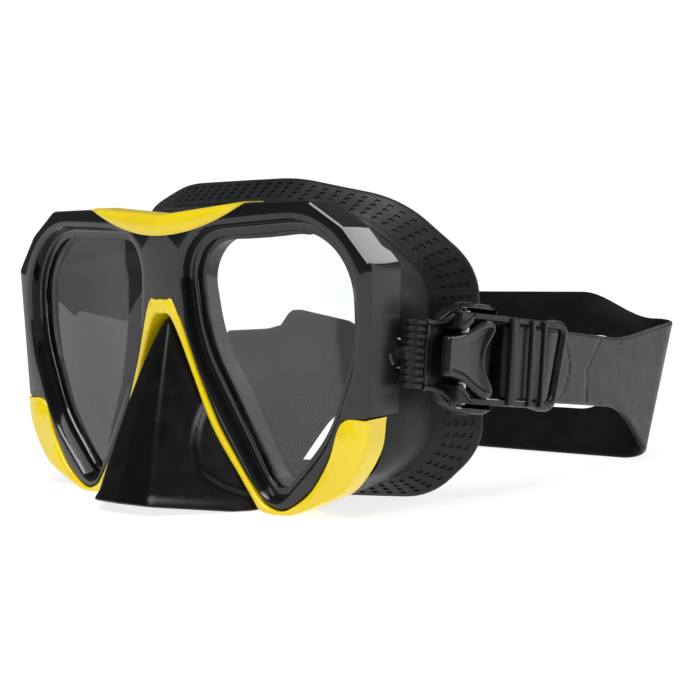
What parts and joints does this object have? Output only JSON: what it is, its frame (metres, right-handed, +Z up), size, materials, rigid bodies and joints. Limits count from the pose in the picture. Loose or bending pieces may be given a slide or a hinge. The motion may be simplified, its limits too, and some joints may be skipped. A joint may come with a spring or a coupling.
{
  "type": "snorkel mask",
  "caption": "Two-lens snorkel and dive mask with nose pocket, wide silicone skirt, ribbed side links, quick-release buckles and a split strap.",
  "frame": {"origin": "middle of the footprint on the surface that the mask stands on, at the centre of its whole width and depth", "axes": "+X to the wearer's left, -Y the way the lenses look, +Z up"},
  "size_m": [0.1878, 0.2062, 0.104],
  "materials": {
    "frame_black": "polished black moulded plastic",
    "trim_yellow": "polished yellow moulded plastic",
    "glass": "clear tempered glass",
    "silicone": "satin black silicone",
    "strap_silicone": "smooth dark grey-black silicone",
    "hard_black": "satin black moulded plastic",
    "lever_black": "semi-gloss black moulded plastic",
    "steel": "brushed stainless pin"
  },
  "bodies": {
    "mask": {"front_frame": "frame_black", "bridge_trim": "trim_yellow", "lower_trim": "trim_yellow", "skirt": "silicone", "lens_left": "glass", "lens_right": "glass", "lens_retainer_left": "hard_black", "lens_retainer_right": "hard_black", "link_pin_left": "steel", "link_pin_right": "steel"},
    "strap_unit": {"strap": "strap_silicone", "side_link_left": "silicone", "side_link_right": "silicone", "bracket_left": "hard_black", "bracket_right": "hard_black", "strap_guide_left": "hard_black", "strap_guide_right": "hard_black", "lever_pin_left": "steel", "lever_pin_right": "steel", "roller_pin_left": "steel", "roller_pin_right": "steel"},
    "lever_left": {"release_lever_left": "lever_black"},
    "roller_left": {"strap_roller_left": "hard_black"},
    "lever_right": {"release_lever_right": "lever_black"},
    "roller_right": {"strap_roller_right": "hard_black"}
  },
  "joints": [
    {"name": "strap_swing", "type": "hinge", "parent": "mask", "child": "strap_unit", "pos_m": [0, -0.05912, 0.0495], "axis": [1, 0, 0], "range_deg": [-12, 35], "stiffness_Nm_per_rad": 0.12},
    {"name": "lever_tilt_left", "type": "hinge", "parent": "strap_unit", "child": "lever_left", "pos_m": [0.0905, -0.0403, 0.04686], "axis": [0, -0.1392, -0.9903], "range_deg": [0, 10], "stiffness_Nm_per_rad": 0.06, "springref_deg": -8.59},
    {"name": "roller_spin_left", "type": "hinge", "parent": "strap_unit", "child": "roller_left", "pos_m": [0.0868, -0.01455, 0.04324], "axis": [0, 0.1392, 0.9903], "continuous": true},
    {"name": "lever_tilt_right", "type": "hinge", "parent": "strap_unit", "child": "lever_right", "pos_m": [-0.0905, -0.0403, 0.04686], "axis": [0, 0.1392, 0.9903], "range_deg": [0, 10], "stiffness_Nm_per_rad": 0.06, "springref_deg": -8.59},
    {"name": "roller_spin_right", "type": "hinge", "parent": "strap_unit", "child": "roller_right", "pos_m": [-0.0868, -0.01455, 0.04324], "axis": [0, 0.1392, 0.9903], "continuous": true}
  ]
}
